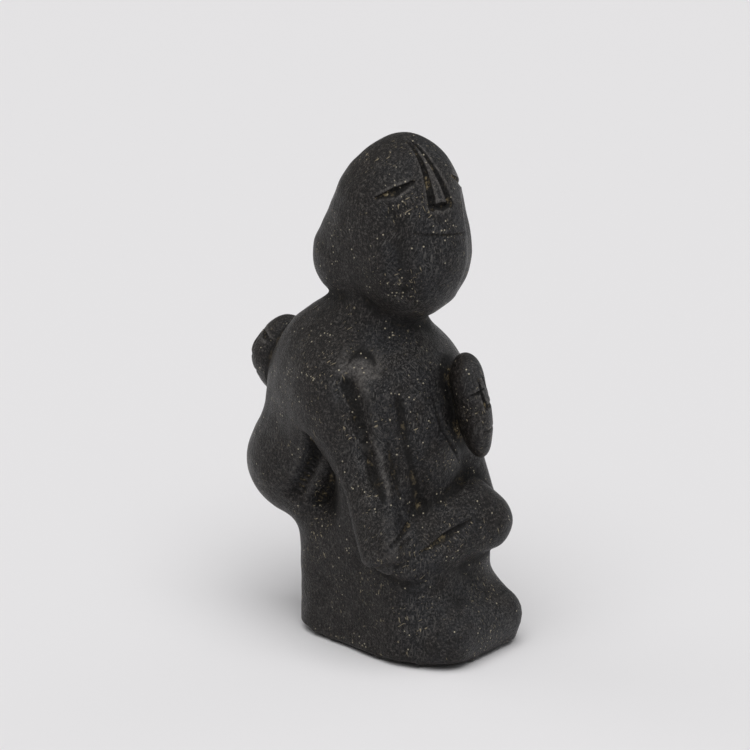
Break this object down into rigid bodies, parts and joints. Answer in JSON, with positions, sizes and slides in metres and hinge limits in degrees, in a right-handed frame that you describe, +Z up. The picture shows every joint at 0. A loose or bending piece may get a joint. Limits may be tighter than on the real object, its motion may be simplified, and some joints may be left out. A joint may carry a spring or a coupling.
{
  "type": "stone family sculpture",
  "caption": "Hand-carved black stone figure of a kneeling hooded mother with a child's head at her breast and another child on her back.",
  "frame": {"origin": "on the flat of the underside, below the middle of the seat, at z = 0", "axes": "+Z up, the mother faces -Y, her right side is -X"},
  "size_m": [0.0737, 0.1161, 0.2048],
  "materials": {
    "black_stone": "hand-rubbed satin black soapstone with tan stone dust in the cuts"
  },
  "bodies": {
    "root": {"stone_family": "black_stone"}
  },
  "joints": []
}
